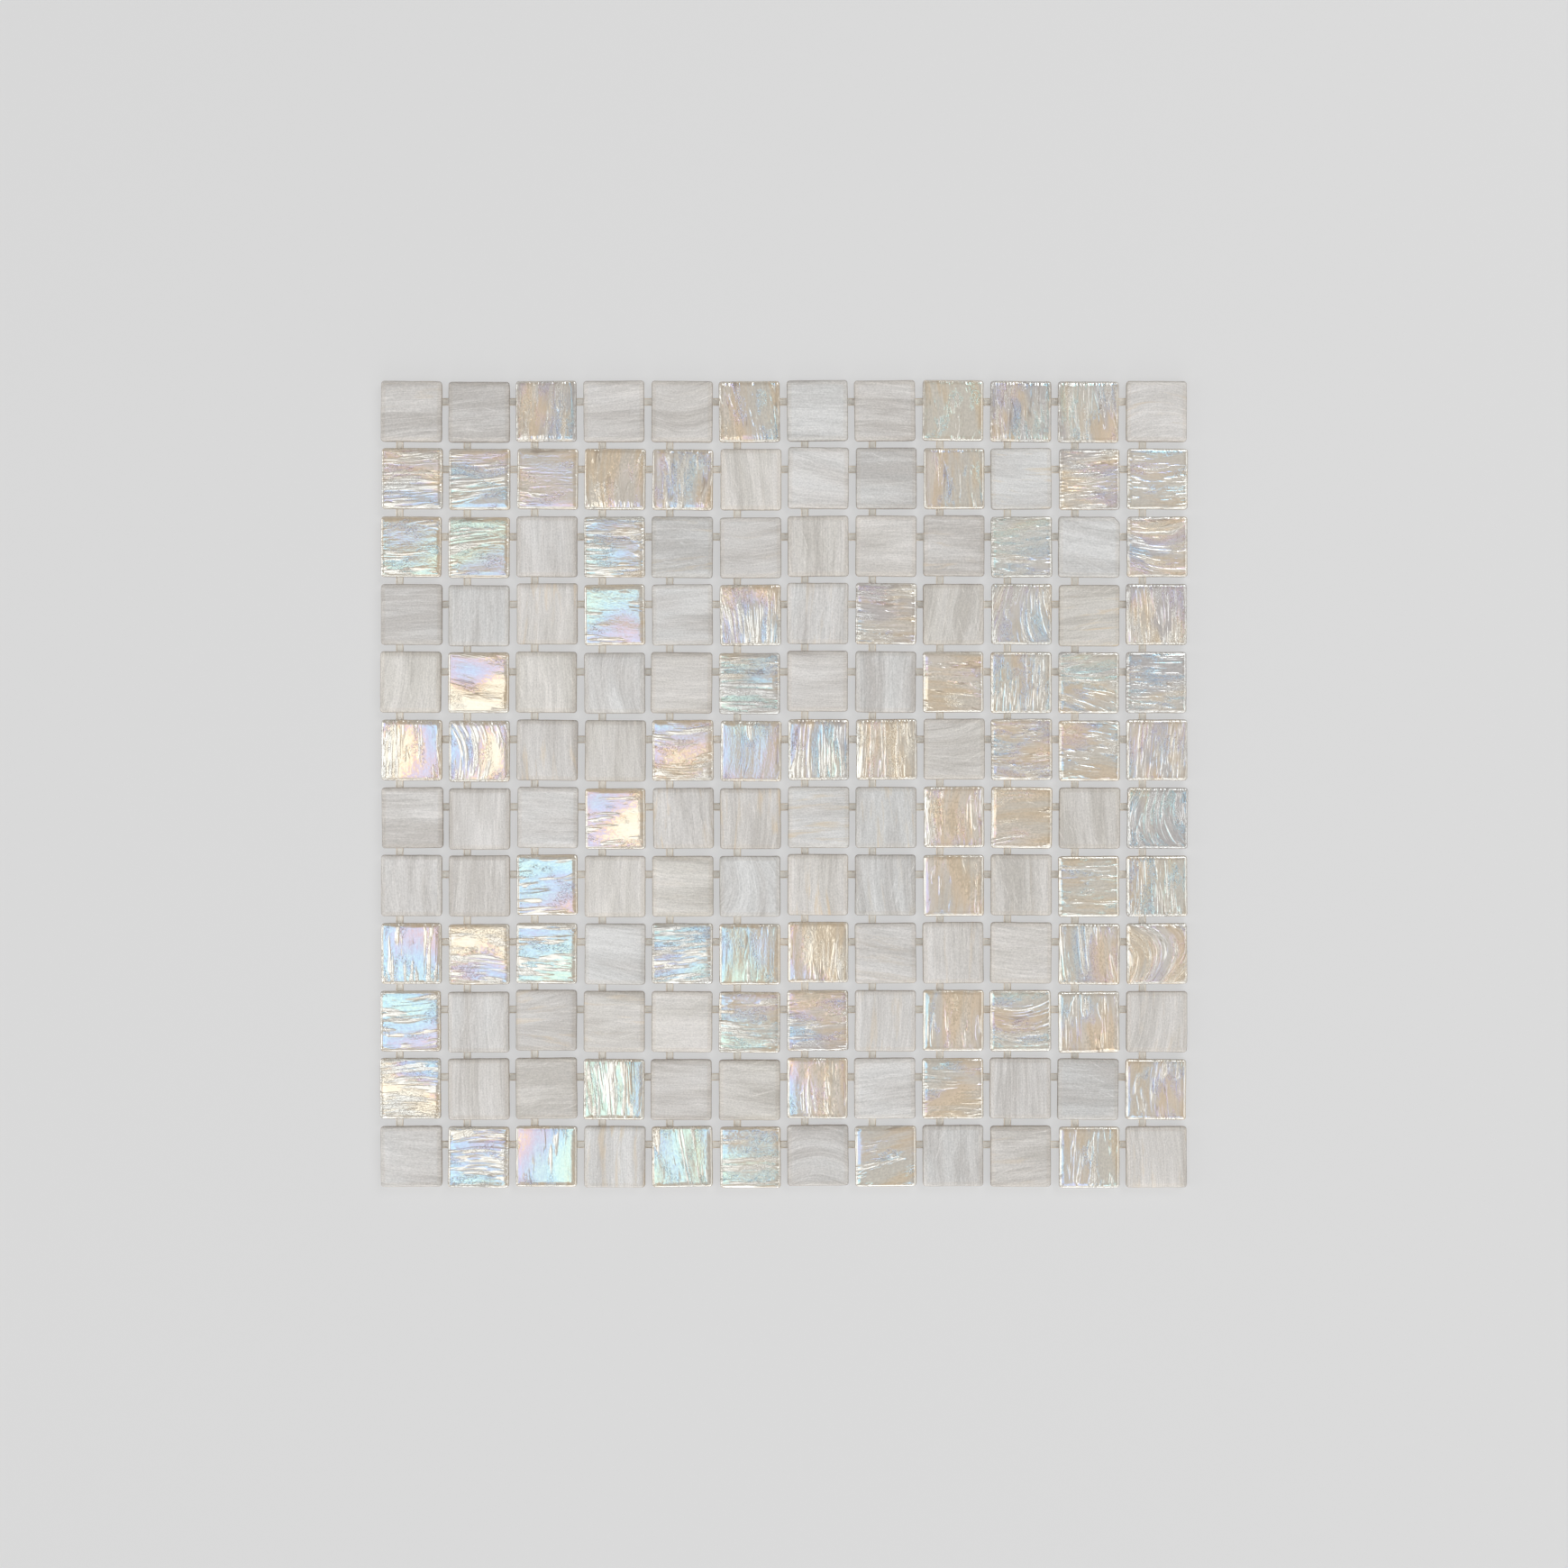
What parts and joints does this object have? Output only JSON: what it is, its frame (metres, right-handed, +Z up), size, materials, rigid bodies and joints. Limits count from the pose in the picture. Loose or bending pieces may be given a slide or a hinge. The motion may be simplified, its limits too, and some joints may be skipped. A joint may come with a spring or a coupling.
{
  "type": "mosaic tile sheet",
  "caption": "Flat square sheet of small square glass mosaic tiles, some milky and some iridised, laid in rows on a thin backing net.",
  "frame": {"origin": "centre of the underside, on the plane that the backing net lies on", "axes": "+Z up through the faces of the tiles, +X along the rows towards column 12, +Y up the columns towards row 1"},
  "size_m": [0.2984, 0.2984, 0.0043],
  "materials": {
    "milky_glass": "opaque milky glass with fine parallel streaks, satin face",
    "iridised_glass": "opaque streaky glass with a hammered, glossy face and a pearly film",
    "net_film": "translucent cream plastic"
  },
  "bodies": {
    "root": {"backing_net": "net_film", "milky_tiles_row_01": "milky_glass", "milky_tiles_row_02": "milky_glass", "milky_tiles_row_03": "milky_glass", "milky_tiles_row_04": "milky_glass", "milky_tiles_row_05": "milky_glass", "milky_tiles_row_06": "milky_glass", "milky_tiles_row_07": "milky_glass", "milky_tiles_row_08": "milky_glass", "milky_tiles_row_09": "milky_glass", "milky_tiles_row_10": "milky_glass", "milky_tiles_row_11": "milky_glass", "milky_tiles_row_12": "milky_glass", "iridised_tiles_row_01": "iridised_glass", "iridised_tiles_row_02": "iridised_glass", "iridised_tiles_row_03": "iridised_glass", "iridised_tiles_row_04": "iridised_glass", "iridised_tiles_row_05": "iridised_glass", "iridised_tiles_row_06": "iridised_glass", "iridised_tiles_row_07": "iridised_glass", "iridised_tiles_row_08": "iridised_glass", "iridised_tiles_row_09": "iridised_glass", "iridised_tiles_row_10": "iridised_glass", "iridised_tiles_row_11": "iridised_glass", "iridised_tiles_row_12": "iridised_glass"}
  },
  "joints": []
}
